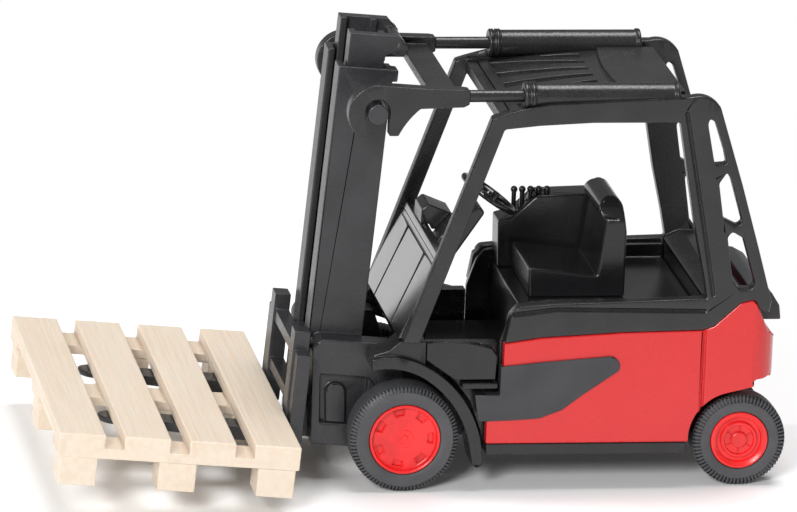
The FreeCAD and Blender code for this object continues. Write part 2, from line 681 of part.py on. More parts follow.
def steering_wheel():
    ring = doc.addObject("Part::Torus", "ring")
    bind(ring, "Radius1", d.wheel_ring)
    bind(ring, "Radius2", d.wheel_grip)
    pieces = [ring, rod(0.9, (-0.5, 0.45), along="Z")]
    for angle in (90, 210, 330):
        spoke = block((0, d.wheel_ring), both(0.3), (-0.15, 0.2))
        spoke.Placement = FreeCAD.Placement(FreeCAD.Vector(), FreeCAD.Rotation(FreeCAD.Vector(0, 0, 1), angle))
        spoke.setExpression("Placement.Base.x", None)
        spoke.setExpression("Placement.Base.y", None)
        pieces.append(spoke)
    pieces.append(rod(0.4, (0, 1.1), x=0.3, y=d.wheel_ring, along="Z"))
    wheel = join(*pieces)
    return move(wheel, back(d.wheel_back), d.wheel_side, d.wheel_height, FreeCAD.Rotation(FreeCAD.Vector(0, 1, 0), -34.6))


node("instrument_hood", instrument_hood())
node("steering_column", steering_column())
node("steering_wheel", steering_wheel())


# ---- mast, drawn upright about the front axle ----
def channel(side, depth, outer, wall, reach, flange, low, high):
    web = block(depth, sided(side, outer - wall, outer), (low, high))
    front = block((depth[1] - flange, depth[1]), sided(side, outer - reach, outer), (low, high))
    rear = block((depth[0], depth[0] + flange), sided(side, outer - reach, outer), (low, high))
    return join(web, front, rear)


def outer_mast():
    half = d.mast_width / 2
    pieces = []
    depth = (d.mast_rear, d.mast_front)
    for name, side in SIDES:
        pieces.append(channel(side, depth, half, d.web, d.flange_reach, d.flange, d.mast_foot, d.mast_top))
        foot = plate([
            (9.2, d.mast_foot), (10.1, 7.7), ("arc", (9.75, 8.65), (8.9, d.foot_top)), (1.6, d.foot_top),
            (-1.9, 1.1), ("arc", (-2.15, -0.4), (-1.4, -1.7)), (-0.6, d.mast_foot)],
            *sided(side, half, d.foot_width / 2))
        recess = plate([(9.0, 5.2), (3.8, 5.2), (3.8, -0.1), (8.5, -0.1)], *sided(side, d.foot_width / 2 - 0.9, d.foot_width / 2 + 1))
        pad = plate([(8.2, 3.1), ("arc", (7.1, 4.3), (6.0, 3.1)), (5.7, -0.05), (7.8, -0.05)],
                    *sided(side, d.foot_width / 2 - 1.0, d.foot_width / 2 - 0.3))
        pieces.append(join(cut(foot, recess), pad))
        pieces.append(block((d.mast_rear - 0.6, d.mast_rear + 0.3), sided(side, half - 2, half), (d.mast_top - 1.3, d.mast_top)))
        pin_ends = sided(side, half, d.tilt_track / 2 + d.arm_wall / 2 + 0.35)
        pieces.append(rod(d.pin_diameter / 2, pin_ends, x=d.pin_forward, z=d.pin_height))
    for low in (d.pin_height - d.tie_height * 2, d.mast_foot + d.tie_height / 2):
        pieces.append(block((d.mast_rear, d.mast_rear + d.flange), both(half), (low, low + d.tie_height)))
    hole = rod(d.axle_diameter / 2 + d.shaft_gap, both(d.foot_width), x=0, z=0)
    return cut(join(*pieces), hole)


node("outer_mast", outer_mast(), leaning=True)


def inner_mast():
    outer = d.mast_width / 2 - d.web - 0.1
    rear = d.mast_rear + d.flange + d.slide_gap
    front = d.mast_front - d.flange - d.slide_gap
    reach = outer - (d.mast_width / 2 - d.flange_reach)
    pieces = []
    for name, side in SIDES:
        pieces.append(channel(side, (rear, front), outer, d.inner_wall, reach, d.inner_flange, d.mast_foot, d.inner_top))
        arm = plate([
            (rear + 1, d.inner_top - d.inner_arm_drop), (d.inner_arm + 0.5, d.inner_top - d.inner_arm_drop + 0.2),
            (d.inner_arm, d.inner_top - 1.2), (d.inner_arm + 1.2, d.inner_top), (rear + 1, d.inner_top)],
            *sided(side, outer - d.inner_wall, outer))
        pieces.append(arm)
    pieces.append(rod(0.65, both(outer + 0.1), x=d.inner_arm + 0.75, z=d.inner_top - 1.4))
    for low in (d.mast_foot, d.mast_top - d.tie_height - 1):
        pieces.append(block((rear, rear + d.inner_flange), both(outer), (low, low + d.tie_height)))
    return join(*pieces)


node("inner_mast", inner_mast(), leaning=True)


# ---- tilt link ----
def tilt_link():
    lean_x = d.pin_forward * cos_tilt - d.pin_height * sin_tilt
    lean_z = d.pin_forward * sin_tilt + d.pin_height * cos_tilt
    eye_x = axle_x + lean_x
    eye_z = front_radius + lean_z
    pieces = []
    tools = []
    for name, side in SIDES:
        middle = d.tilt_track / 2
        wall = sided(side, middle - d.arm_wall / 2, middle + d.arm_wall / 2)
        pieces.append(rod(d.eye_radius, wall, x=eye_x, z=eye_z))
        pieces.append(plate([
            (eye_x, eye_z + d.eye_radius - 0.02), (back(1.5), d.barrel_height + 0.95), (back(5.0), d.barrel_height + 0.85),
            (back(d.arm_rear), d.barrel_height + 0.75), (back(d.arm_rear), d.barrel_height - 0.75),
            (back(5.0), d.barrel_height - 1.05), (back(0.4), d.barrel_height - 1.2),
            ("arc", (axle_x + 0.75, eye_z - 0.65), (axle_x + 1.9, eye_z - d.eye_bottom - 0.1)),
            (eye_x, eye_z - d.eye_bottom - 0.1)], *wall))
        pieces.append(barrel_rod(side, d.rod_diameter / 2, (back(d.barrel_front + d.rod_depth), back(d.arm_rear) + 0.5)))
        slot = d.pin_diameter / 2 + d.pin_clearance
        slot_top = eye_z + d.pin_clearance + 0.05
        cut_wall = (wall[0] - 1, wall[1] + 1)
        tools.append(rod(slot, cut_wall, x=eye_x, z=slot_top))
        tools.append(block((eye_x - slot, eye_x + slot), cut_wall, (slot_top - 10, slot_top)))
        tools.append(block((eye_x - 6, eye_x + 6), cut_wall, (eye_z - 12, eye_z - d.eye_bottom)))
    inner = d.tilt_track / 2 - d.arm_wall / 2
    pieces.append(block((back(4.7), back(1.8)), both(inner + 0.2), (d.barrel_height - 1.0, d.barrel_height + 0.1)))
    return cut(join(*pieces), *tools)


node("tilt_link", tilt_link())


# ---- fork carriage ----
def carriage():
    web_inside = d.mast_width / 2 - d.web - 0.1 - d.inner_wall
    neck = d.mast_width / 2 - d.flange_reach - d.slide_gap
    head_rear = d.mast_rear + d.flange + 2 * d.slide_gap + d.inner_flange
    head_front = d.mast_front - d.flange - 2 * d.slide_gap - d.inner_flange
    plate_rear = d.mast_front + d.swing_gap
    pieces = [block((head_rear, head_front), both(web_inside - d.slide_gap), (-1.5, d.carriage_top))]
    pieces.append(block((head_front - 0.5, plate_rear + 0.4), both(neck), (-1.5, d.carriage_top)))
    for low in (d.carriage_top - d.carriage_bar, d.carriage_low):
        pieces.append(block((plate_rear, d.carriage_front), both(d.upright_inner + 0.5), (low, low + d.carriage_bar)))
    for name, side in SIDES:
        pieces.append(block((plate_rear, d.carriage_front + 0.2), sided(side, d.upright_inner, d.upright_outer),
                            (-2.0, d.upright_top)))
        pieces.append(block((plate_rear, d.carriage_front), sided(side, d.upright_outer - 0.5, d.shank_outer),
                            (fork_top - d.fork_thickness, d.shank_top)))
        middle = side * (d.fork_inner + d.fork_outer) / 2
        half = (d.fork_outer - d.fork_inner) / 2
        tip = d.fork_tip - half
        blade = plate([
            (plate_rear, middle - half), (tip, middle - half), ("arc", (d.fork_tip, middle), (tip, middle + half)),
            (plate_rear, middle + half)], fork_top - d.fork_thickness, fork_top, "XY")
        taper = plate([
            (18.0, fork_top - d.fork_thickness - 0.01), (d.fork_tip + 1, fork_top - 0.5),
            (d.fork_tip + 1, fork_top - d.fork_thickness - 1)], *sided(side, d.fork_inner - 1, d.fork_outer + 1))
        pieces.append(cut(blade, taper))
    return join(*pieces)


fork_top = slat_low - d.gap
node("fork_carriage", carriage(), leaning=True)


# ---- pallet ----
def pallet():
    half = d.pallet_width / 2
    pieces = []
    pitch = (d.pallet_length - d.slat_width) / 3
    for n in range(4):
        start = d.pallet_rear + pitch * n
        pieces.append(block((start, start + d.slat_width), both(half), (slat_low, d.pallet_top)))
    row = half - d.stringer_width / 2
    block_pitch = (d.pallet_length - d.block_length - 0.6) / 2
    for place in (-1, 0, 1):
        middle = row * place
        sides = (middle - d.stringer_width / 2, middle + d.stringer_width / 2)
        pieces.append(block((d.pallet_rear, pallet_front), sides, (stringer_low, slat_low)))
        for n in range(3):
            start = d.pallet_rear + 0.3 + block_pitch * n
            foot = (sides[0] + 0.25, sides[1] - 0.25)
            pieces.append(block((start, start + d.block_length), foot, (pallet_bottom, stringer_low)))
    return join(*pieces)


node("pallet", pallet(), leaning=True)


doc.recompute()
for thing in doc.Objects:
    if "Invalid" in thing.State or "Error" in thing.State:
        raise RuntimeError("%s (%s) failed: %s" % (thing.Name, thing.Label, thing.State))
for piece in nodes:
    if piece.Shape.isNull() or not piece.Shape.isValid():
        raise RuntimeError("%s has no valid shape" % piece.Label)
for piece in nodes:
    piece.Shape.exportStep("parts/%s.step" % piece.Label)
    box = piece.Shape.BoundBox
    print("%-20s solids %d  x %.2f %.2f  y %.2f %.2f  z %.2f %.2f" % (
        piece.Label, len(piece.Shape.Solids), box.XMin, box.XMax, box.YMin, box.YMax, box.ZMin, box.ZMax))
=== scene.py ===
import json
import math

import bmesh
import bpy
from bpy.props import FloatProperty, FloatVectorProperty, IntProperty, PointerProperty
from mathutils import Matrix, Vector

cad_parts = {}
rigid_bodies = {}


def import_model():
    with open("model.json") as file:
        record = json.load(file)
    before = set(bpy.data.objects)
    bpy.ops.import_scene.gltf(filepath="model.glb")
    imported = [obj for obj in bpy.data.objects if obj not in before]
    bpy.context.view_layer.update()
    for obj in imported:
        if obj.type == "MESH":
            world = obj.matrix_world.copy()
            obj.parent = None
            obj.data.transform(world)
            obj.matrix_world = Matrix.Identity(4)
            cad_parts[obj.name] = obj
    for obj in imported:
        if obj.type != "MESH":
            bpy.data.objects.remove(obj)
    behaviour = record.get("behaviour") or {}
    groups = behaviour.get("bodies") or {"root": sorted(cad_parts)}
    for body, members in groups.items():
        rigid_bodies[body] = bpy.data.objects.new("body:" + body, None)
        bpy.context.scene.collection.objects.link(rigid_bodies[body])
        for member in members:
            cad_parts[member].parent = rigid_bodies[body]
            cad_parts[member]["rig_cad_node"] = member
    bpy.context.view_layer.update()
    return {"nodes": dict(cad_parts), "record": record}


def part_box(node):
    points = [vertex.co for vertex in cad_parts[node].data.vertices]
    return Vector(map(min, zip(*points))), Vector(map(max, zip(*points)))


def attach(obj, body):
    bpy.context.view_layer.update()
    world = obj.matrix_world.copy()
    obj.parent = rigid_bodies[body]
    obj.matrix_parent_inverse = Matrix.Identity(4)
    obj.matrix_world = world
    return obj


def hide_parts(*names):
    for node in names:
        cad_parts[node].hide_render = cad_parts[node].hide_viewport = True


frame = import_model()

bl_info = {
    "name": "Toy forklift",
    "version": (1, 0, 0),
    "blender": (4, 5, 0),
    "location": "View3D > Sidebar > Forklift",
    "description": "Rounded castings, ribbed tyres, finishes and a studio for the toy forklift",
    "category": "Object",
}

MM = 0.001
SIDES = ("left", "right")
BODY_OF = {node: body for body, nodes in frame["record"]["behaviour"]["bodies"].items() for node in nodes}
SLOT_OF = {part["node"]: part["material_slot"] for part in frame["record"]["subparts"]}

# Sockets of a colour mix, whose names aren't unique.
MIX_FIRST = 6
MIX_SECOND = 7
MIX_RESULT = 2

# The middle of a noise, where nearly all its values lie.
NOISE_LOW = 0.3
NOISE_HIGH = 0.7

# Mesh clean-up, and the angles that shading smooths, in degrees.
WELD_DISTANCE = 0.001 * MM
MERGE_DISTANCE = 0.002 * MM
FLAT_ANGLE = 0.6
ROUNDED_SMOOTH_ANGLE = 40
RIM_SMOOTH_ANGLE = 30
TYRE_SMOOTH_ANGLE = 32

# The shell and the guard have crisper edges than the other castings, and the tilt link softer ones
# than the other fine pieces.
CRISP = 0.75
SOFT = 1.3

# Rims: the disc lies inside both ends of the rim, and its back ring starts at a share of the radius.
# Each CLOCK_SLICES hold one window or stud, whose foot and head are shares of the radius.
FACE_INSET = 0.62 * MM
BACK_INSET = 0.3 * MM
BACK_OPENING = 0.9
CLOCK_SLICES = 12
WINDOW_FOOT = 0.63
WINDOW_HEAD = 0.86
WINDOW_SLICES = range(3, 9)
STUD_COUNT = 6
STUD_FOOT = 0.29
STUD_HEAD = 0.50
STUD_SLICES = range(5, 8)

# Tyres: the play on the rim, the share of the radius where the ribs start, and how far the tread is
# smooth to each side of its middle, as a share of its width.
TYRE_PLAY = 0.02 * MM
FRONT_RIB_FOOT = 0.89
REAR_RIB_FOOT = 0.84
SMOOTH_TREAD = 0.3

# Stage. Lengths are in metres, and the sensor's width in millimetres. The floor's own glow grows from
# its least beside the truck to full beyond it. A lamp has its name, place, size and the property that
# holds its power.
FLOOR_RADIUS = 4
FLOOR_SIDES = 96
FLOOR_WHITE = (0.96, 0.96, 0.96)
FADE_START = 0.04
FADE_END = 0.11
LEAST_GLOW = 0.02
LAMP_TARGET = (0, 0, 0.02)
LAMPS = (
    ("key_lamp", (0.38, 0.75, 0.42), 0.26, "key_power"),
    ("top_lamp", (-0.10, -0.05, 0.8), 0.45, "top_power"),
    ("edge_lamp", (0.62, -0.12, 0.30), 0.12, "edge_power"),
)
AIM_BEHIND_AXLE = 0.68 * MM
AIM_HEIGHT = 22.48 * MM
SENSOR_WIDTH = 36
CLIP_START = 0.01


def colour_property(name, description, default):
    return FloatVectorProperty(
        name=name, description=description, subtype="COLOR", size=3, min=0.0, max=1.0, default=default)


def length_property(name, description, default):
    return FloatProperty(
        name=name, description=description, unit="LENGTH", subtype="DISTANCE", default=default)


def power_property(name, description, default):
    return FloatProperty(name=name, description=description, unit="POWER", default=default)


def angle_property(name, description, degrees):
    return FloatProperty(
        name=name, description=description, subtype="ANGLE", default=math.radians(degrees))


def count_property(name, description, default, low, high):
    return IntProperty(name=name, description=description, default=default, min=low, max=high)


class ForkliftFinishes(bpy.types.PropertyGroup):
    """Colours of the paints, plastics and rubber."""

    enamel: colour_property("Enamel", "Glossy red of the body and the wheel rims", (0.62, 0.016, 0.017))
    satin: colour_property("Satin plastic", "Dark grey of the guard, base and cowl", (0.014, 0.014, 0.015))
    trim: colour_property("Trim", "Dark grey of the side panels and the tail cover", (0.026, 0.027, 0.030))
    fender: colour_property("Fender black", "Soft gloss black of fenders and steps", (0.009, 0.009, 0.010))
    mast: colour_property("Mast plastic", "Dark grey of the mast, carriage and forks", (0.022, 0.022, 0.024))
    cab: colour_property("Cab black", "Glossy black of the seat, floor and controls", (0.010, 0.010, 0.011))
    tyre: colour_property("Tyre", "Matt dark grey rubber", (0.050, 0.051, 0.055))
    timber: colour_property("Timber", "Cream of the pallet", (0.71, 0.61, 0.50))
    timber_grain: colour_property("Timber grain", "Darker lines in the pallet", (0.62, 0.49, 0.365))
    metal: colour_property("Bare metal", "Axles and screws", (0.55, 0.55, 0.56))


class ForkliftWheels(bpy.types.PropertyGroup):
    """Tyres and rims."""

    front_ribs: count_property("Front ribs", "Ribs round a front tyre", 88, 24, 160)
    rear_ribs: count_property("Rear ribs", "Ribs round a rear tyre", 72, 24, 160)
    rib_depth: length_property("Rib depth", "Depth of the grooves between the ribs", 0.27 * MM)
    window_count: count_property("Rim windows", "Pressed windows round a front rim", 7, 3, 12)


class ForkliftEdges(bpy.types.PropertyGroup):
    """Edge rounding of the moulded and cast pieces."""

    casting: length_property("Castings", "Rounding of the large castings", 0.28 * MM)
    moulding: length_property("Mouldings", "Rounding of the plastic mouldings", 0.16 * MM)
    fine: length_property("Fine edges", "Rounding of small and thin pieces", 0.09 * MM)


class ForkliftStage(bpy.types.PropertyGroup):
    """Camera and light."""

    lens: FloatProperty(name="Lens", description="Focal length", unit="CAMERA", default=390.64)
    azimuth: angle_property("Azimuth", "Camera's turn from the truck's left", 9.65)
    elevation: angle_property("Elevation", "Camera's height angle", 15.72)
    roll: angle_property("Roll", "Camera's tilt", 2.28)
    distance: length_property("Distance", "From the camera to the truck", 923.92 * MM)
    key_power: power_property("Key light", "Power of the lamp beside the camera", 6.4)
    top_power: power_property("Top light", "Power of the overhead lamp", 4.8)
    edge_power: power_property("Edge light", "Power of the lamp ahead of the truck", 1.6)
    world_strength: FloatProperty(
        name="Surroundings", description="Strength of the white surroundings", default=0.22)


# ---- finishes ----
def start_finish(name, colour, roughness):
    """A plain finish with its nodes, links and shader, ready for more nodes."""
    finish = bpy.data.materials.new(name)
    finish.use_nodes = True
    shader = finish.node_tree.nodes["Principled BSDF"]
    shader.inputs["Base Color"].default_value = (*colour, 1)
    shader.inputs["Roughness"].default_value = roughness
    return finish, finish.node_tree.nodes, finish.node_tree.links, shader


def place_noise(nodes, links, scale, detail=3.0, stretch=(1, 1, 1)):
    """A noise that sits still on the piece."""
    place = nodes.new("ShaderNodeTexCoord")
    mapping = nodes.new("ShaderNodeMapping")
    mapping.inputs["Scale"].default_value = stretch
    noise = nodes.new("ShaderNodeTexNoise")
    noise.inputs["Scale"].default_value = scale
    noise.inputs["Detail"].default_value = detail
    links.new(place.outputs["Object"], mapping.inputs["Vector"])
    links.new(mapping.outputs["Vector"], noise.inputs["Vector"])
    return noise.outputs["Fac"]


def spread(nodes, links, source, low=0.0, high=1.0):
    """Maps the middle of a noise onto a range."""
    remap = nodes.new("ShaderNodeMapRange")
    remap.inputs["From Min"].default_value = NOISE_LOW
    remap.inputs["From Max"].default_value = NOISE_HIGH
    remap.inputs["To Min"].default_value = low
    remap.inputs["To Max"].default_value = high
    links.new(source, remap.inputs["Value"])
    return remap.outputs["Result"]


def two_tone(nodes, links, source, first, second):
    """Blends from the first colour to the second as the source goes from 0 to 1."""
    blend = nodes.new("ShaderNodeMix")
    blend.data_type = "RGBA"
    blend.inputs[MIX_FIRST].default_value = (*first, 1)
    blend.inputs[MIX_SECOND].default_value = (*second, 1)
    links.new(source, blend.inputs["Factor"])
    return blend.outputs[MIX_RESULT]


def mottle(nodes, links, shader, colour, change, scale):
    """Varies a colour in broad soft patches, towards a paler or deeper one."""
    broad = spread(nodes, links, place_noise(nodes, links, scale))
    changed = tuple(channel * change for channel in colour)
    links.new(two_tone(nodes, links, broad, colour, changed), shader.inputs["Base Color"])


def vary_roughness(nodes, links, shader, source, low, high):
    links.new(spread(nodes, links, source, low, high), shader.inputs["Roughness"])


def raise_grain(nodes, links, shader, height, depth):
    bump = nodes.new("ShaderNodeBump")
    bump.inputs["Strength"].default_value = 1.0
    bump.inputs["Distance"].default_value = depth
    links.new(height, bump.inputs["Height"])
    links.new(bump.outputs["Normal"], shader.inputs["Normal"])


def enamel_finish(name, colour, peel):
    """Sprayed paint: a clear gloss over faint orange peel."""
    finish, nodes, links, shader = start_finish(name, colour, 0.3)
    shader.inputs["Coat Weight"].default_value = 0.35
    shader.inputs["Coat Roughness"].default_value = 0.06
    shader.inputs["Specular IOR Level"].default_value = 0.4
    mottle(nodes, links, shader, colour, change=0.93, scale=160)
    peel_noise = place_noise(nodes, links, scale=420, detail=0.0)
    vary_roughness(nodes, links, shader, peel_noise, low=0.24, high=0.34)
    raise_grain(nodes, links, shader, peel_noise, peel)
    return finish


def plastic_finish(name, colour, low, high, grain):
    """Moulded plastic with a fine spark-eroded texture."""
    finish, nodes, links, shader = start_finish(name, colour, low)
    fine = place_noise(nodes, links, scale=5200, detail=2.0)
    mottle(nodes, links, shader, colour, change=1.5, scale=240)
    vary_roughness(nodes, links, shader, fine, low, high)
    raise_grain(nodes, links, shader, fine, grain)
    return finish


def bright_plastic_finish(name, colour):
    """Smooth plastic with a hard clear gloss, which mirrors strongly at a flat angle."""
    finish = plastic_finish(name, colour, low=0.16, high=0.28, grain=0.01 * MM)
    shader = finish.node_tree.nodes["Principled BSDF"]
    shader.inputs["Specular IOR Level"].default_value = 0.9
    shader.inputs["Coat Weight"].default_value = 1.0
    shader.inputs["Coat Roughness"].default_value = 0.14
    shader.inputs["Coat IOR"].default_value = 1.7
    return finish


def rubber_finish(name, colour):
    """Fine-grained rubber with a dull sheen."""
    finish, nodes, links, shader = start_finish(name, colour, 0.8)
    shader.inputs["Specular IOR Level"].default_value = 0.55
    fine = place_noise(nodes, links, scale=6500, detail=3.0)
    mottle(nodes, links, shader, colour, change=1.3, scale=420)
    vary_roughness(nodes, links, shader, fine, low=0.42, high=0.66)
    raise_grain(nodes, links, shader, fine, depth=0.02 * MM)
    return finish


def timber_finish(name, colour, grain_colour):
    """Cream plastic with moulded wood grain, which runs along the deck boards."""
    finish, nodes, links, shader = start_finish(name, colour, 0.5)
    shader.inputs["Subsurface Weight"].default_value = 0.12
    shader.inputs["Subsurface Scale"].default_value = 0.6 * MM
    long_grain = place_noise(nodes, links, scale=1500, detail=4.0, stretch=(1, 0.045, 1))
    knots = place_noise(nodes, links, scale=260, detail=2.0, stretch=(1, 0.25, 1))
    lines = spread(nodes, links, long_grain)
    tint = nodes.new("ShaderNodeMath")
    tint.operation = "MULTIPLY"
    links.new(lines, tint.inputs[0])
    links.new(spread(nodes, links, knots, low=0.15, high=0.75), tint.inputs[1])
    links.new(two_tone(nodes, links, tint.outputs[0], colour, grain_colour), shader.inputs["Base Color"])
    vary_roughness(nodes, links, shader, long_grain, low=0.42, high=0.62)
    raise_grain(nodes, links, shader, lines, depth=0.035 * MM)
    return finish


def metal_finish(name, colour):
    """Drawn steel, with faint lines along its length."""
    finish, nodes, links, shader = start_finish(name, colour, 0.3)
    shader.inputs["Metallic"].default_value = 1.0
    drawn = place_noise(nodes, links, scale=2600, detail=3.0, stretch=(1, 0.08, 1))
    vary_roughness(nodes, links, shader, drawn, low=0.22, high=0.42)
    raise_grain(nodes, links, shader, drawn, depth=0.006 * MM)
    return finish


# Each moulded plastic: its colour, the range of its roughness and the depth of its texture in mm.
PLASTICS = {
    "rim_red": ("enamel", 0.26, 0.36, 0.003),
    "trim_grey": ("trim", 0.3, 0.42, 0.008),
    "fender_black": ("fender", 0.18, 0.3, 0.008),
    "guard_grey": ("satin", 0.22, 0.4, 0.013),
    "base_grey": ("satin", 0.42, 0.58, 0.016),
    "mast_grey": ("mast", 0.24, 0.42, 0.012),
    "cab_black": ("cab", 0.14, 0.26, 0.007),
}
FINISHES = {}


def finish_of(slot):
    """The finish of a slot. All finishes are made when the first is asked for."""
    if not FINISHES:
        colours = bpy.context.scene.forklift_finishes
        for name, (colour, low, high, grain) in PLASTICS.items():
            FINISHES[name] = plastic_finish(name, getattr(colours, colour), low, high, grain * MM)
        FINISHES["body_red"] = enamel_finish("red_enamel", colours.enamel, peel=0.0015 * MM)
        FINISHES["cowl_black"] = bright_plastic_finish("cowl_black", colours.satin)
        FINISHES["tyre_rubber"] = rubber_finish("tyre_rubber", colours.tyre)
        FINISHES["pallet_cream"] = timber_finish("pallet_cream", colours.timber, colours.timber_grain)
        for name in ("axle_steel", "screw_steel"):
            FINISHES[name] = metal_finish(name, colours.metal)
    return FINISHES[slot]


# ---- mesh helpers ----
def new_piece(name):
    """An empty mesh at the origin, open for editing."""
    bpy.ops.object.select_all(action="DESELECT")
    bpy.ops.object.add(type="MESH", location=(0, 0, 0))
    piece = bpy.context.object
    piece.name = name
    piece.data.name = name
    bpy.ops.object.mode_set(mode="EDIT")
    return piece


def pick_faces(piece, wanted):
    """Selects the faces that the test accepts."""
    bpy.ops.mesh.select_mode(type="FACE")
    bpy.ops.mesh.select_all(action="DESELECT")
    mesh = bmesh.from_edit_mesh(piece.data)
    mesh.faces.ensure_lookup_table()
    for face in mesh.faces:
        if wanted(face):
            face.select_set(True)
    bmesh.update_edit_mesh(piece.data)


def smooth(piece, angle):
    """Ends the editing and shades edges below the angle smooth."""
    bpy.ops.object.mode_set(mode="OBJECT")
    bpy.ops.object.select_all(action="DESELECT")
    piece.select_set(True)
    bpy.context.view_layer.objects.active = piece
    bpy.ops.object.shade_smooth_by_angle(angle=math.radians(angle))


def settle(piece, *nodes):
    """The finished piece stands for these nodes, takes their finish and rides on their body."""
    slot = SLOT_OF[nodes[0]]
    piece.data.materials.clear()
    piece.data.materials.append(finish_of(slot))
    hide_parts(*nodes)
    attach(piece, BODY_OF[nodes[0]])


def turned(name, profile, x, z, segments, capped=False):
    """Turned about an axle along Y from (radius, y) corners: a disc if capped, or else an open ring."""
    piece = new_piece(name)
    radius, y = profile[0]
    bpy.ops.mesh.primitive_circle_add(
        vertices=segments, radius=radius, fill_type="NGON" if capped else "NOTHING", location=(x, y, z),
        rotation=(math.pi / 2, 0, 0))
    for next_radius, next_y in profile[1:]:
        bpy.ops.mesh.extrude_edges_move(TRANSFORM_OT_translate={"value": (0, next_y - y, 0)})
        scale = next_radius / radius
        bpy.ops.transform.resize(value=(scale, 1, scale), center_override=(x, next_y, z))
        radius, y = next_radius, next_y
    if capped:
        bpy.ops.mesh.edge_face_add()
    bpy.ops.mesh.select_all(action="SELECT")
    return piece


def close_ring():
    """Joins the first and last edges of an open ring."""
    bpy.ops.mesh.select_mode(type="EDGE")
    bpy.ops.mesh.select_all(action="DESELECT")
    bpy.ops.mesh.select_non_manifold()
    bpy.ops.mesh.bridge_edge_loops()
    face_outwards()


def face_outwards():
    """Welds the mesh and turns all its faces outwards."""
    bpy.ops.mesh.select_all(action="SELECT")
    bpy.ops.mesh.remove_doubles(threshold=WELD_DISTANCE)
    bpy.ops.mesh.normals_make_consistent(inside=False)


def slice_at(point, x, z, slices):
    """Which of the equal slices round an axle a point is in."""
    angle = math.atan2(point.z - z, point.x - x) % math.tau
    return int(angle / (math.tau / slices))


def reach_from(point, x, z):
    return math.hypot(point.x - x, point.z - z)


def rounded(node, width, keep_sharp=28, segments=2):
    """A merged copy of a node with its sharp edges rounded."""
    bpy.ops.object.select_all(action="DESELECT")
    source = frame["nodes"][node]
    source.select_set(True)
    bpy.context.view_layer.objects.active = source
    bpy.ops.object.duplicate()
    piece = bpy.context.object
    piece.parent = None
    del piece["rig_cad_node"]
    piece.name = node + "_rounded"
    bpy.ops.object.mode_set(mode="EDIT")
    bpy.ops.mesh.select_all(action="SELECT")
    bpy.ops.mesh.remove_doubles(threshold=MERGE_DISTANCE)
    bpy.ops.mesh.dissolve_limited(angle_limit=math.radians(FLAT_ANGLE))
    bpy.ops.mesh.select_all(action="SELECT")
    bpy.ops.mesh.vert_connect_concave()
    bpy.ops.object.mode_set(mode="OBJECT")
    bevel = piece.modifiers.new("rounding", "BEVEL")
    bevel.width = width
    bevel.segments = segments
    bevel.limit_method = "ANGLE"
    bevel.angle_limit = math.radians(keep_sharp)
    bevel.use_clamp_overlap = False
    bevel.miter_outer = "MITER_ARC"
    bpy.ops.object.modifier_apply(modifier=bevel.name)
    smooth(piece, ROUNDED_SMOOTH_ANGLE)
    weigh = piece.modifiers.new("flat_faces", "WEIGHTED_NORMAL")
    weigh.keep_sharp = True
    bpy.ops.object.modifier_apply(modifier=weigh.name)
    settle(piece, node)


# ---- wheels ----
def axle_centre(where):
    """The x and z of an axle's centre line."""
    low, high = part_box(where + "_axle")
    return (low.x + high.x) / 2, (low.z + high.z) / 2


def tyre(where, side, ribs, groove, rib_foot):
    """A smooth tread between two shoulders of short ribs."""
    node = "%s_%s_tyre" % (where, side)
    low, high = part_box(node)
    x, z = axle_centre(where)
    radius = (high.z - low.z) / 2
    seat = rim_radius("%s_%s_rim" % (where, side)) + TYRE_PLAY
    width = high.y - low.y
    middle = (high.y + low.y) / 2
    outward = 1 if middle > 0 else -1

    # Corners are (radius, place across), and a place runs from -1 at the inner side to 1 at the outer.
    inner_bead = [(seat, -0.86), (seat + 0.12 * MM, -0.98)]
    outer_bead = [(seat + 0.28 * MM, 0.985), (seat + 0.08 * MM, 0.95), (seat, 0.86)]
    inner_wall = [(0.80, -1.0), (0.90, -0.93)]
    tread = [(0.97, -0.78), (0.995, -0.5), (1.0, 0.0), (0.995, 0.62), (0.985, 0.80), (0.945, 0.9)]
    outer_wall = [(rib_foot, 0.955), (rib_foot - 0.012, 0.99), (0.76, 1.0)]
    rubber = [(radius * share, place) for share, place in inner_wall + tread + outer_wall]
    profile = [
        (reach, middle + outward * place * width / 2) for reach, place in inner_bead + rubber + outer_bead]
    slices = ribs * 2
    piece = turned(node + "_ribbed", profile, x, z, slices)
    close_ring()

    def between_ribs(face):
        centre = face.calc_center_median()
        on_shoulder = abs(centre.y - middle) > width * SMOOTH_TREAD
        above_foot = reach_from(centre, x, z) > radius * rib_foot
        return on_shoulder and above_foot and slice_at(centre, x, z, slices) % 2 == 0

    pick_faces(piece, between_ribs)
    bpy.ops.mesh.extrude_region_shrink_fatten(TRANSFORM_OT_shrink_fatten={"value": -groove})
    smooth(piece, TYRE_SMOOTH_ANGLE)
    settle(piece, node)


def rim_radius(node):
    low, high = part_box(node)
    return (high.z - low.z) / 2


def rim_disc(where, side, ending, steps, slices):
    """A disc turned from steps, which are (share of the radius, height above its face in mm)."""
    node = "%s_%s_rim" % (where, side)
    low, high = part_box(node)
    x, z = axle_centre(where)
    radius = rim_radius(node)
    outward = 1 if high.y > 0 else -1
    face = (high.y if outward > 0 else -low.y) - FACE_INSET
    back = (low.y if outward > 0 else -high.y) + BACK_INSET
    profile = [(radius * BACK_OPENING, outward * back), (radius, outward * back)]
    profile += [(radius * share, outward * (face + height * MM)) for share, height in steps]
    piece = turned(node + ending, profile, x, z, slices, capped=True)
    face_outwards()
    return piece


